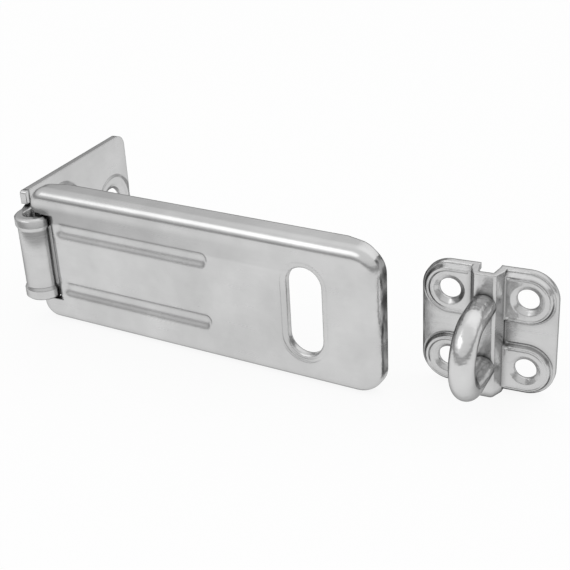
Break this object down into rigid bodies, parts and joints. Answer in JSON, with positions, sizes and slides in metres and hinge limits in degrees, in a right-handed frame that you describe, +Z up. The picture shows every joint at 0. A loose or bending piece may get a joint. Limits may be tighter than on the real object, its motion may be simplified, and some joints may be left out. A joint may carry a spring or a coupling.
{
  "type": "padlock hasp",
  "caption": "Padlock hasp set in bright zinc-plated steel: a ribbed, flanged hinged strap with a slot, on a screw-on leaf, and a separate screw-on staple with a rod eye for the shackle.",
  "frame": {"origin": "centre of the leaf's mounting face, the face that lies on the door frame", "axes": "+X out of the door frame, from the leaf's mounting face to its front; +Y along the leaf, away from the hinge; +Z up, along the hinge axis"},
  "size_m": [0.1212, 0.0594, 0.0316],
  "materials": {
    "strap_zinc": "bright zinc plating over pressed sheet, soft sheen",
    "leaf_zinc": "bright zinc plating over pressed sheet, soft sheen",
    "staple_zinc": "bright zinc plating over pressed sheet, soft sheen",
    "eye_zinc": "bright zinc plating over drawn rod, glossy"
  },
  "bodies": {
    "fixed_parts": {"hinge_leaf": "leaf_zinc", "staple_plate": "staple_zinc", "staple_eye": "eye_zinc"},
    "strap": {"hasp_strap": "strap_zinc"}
  },
  "joints": [
    {"name": "strap_hinge", "type": "hinge", "parent": "fixed_parts", "child": "strap", "pos_m": [0.0052, -0.0233, 0], "axis": [0, 0, 1], "range_deg": [-85, 95]}
  ]
}
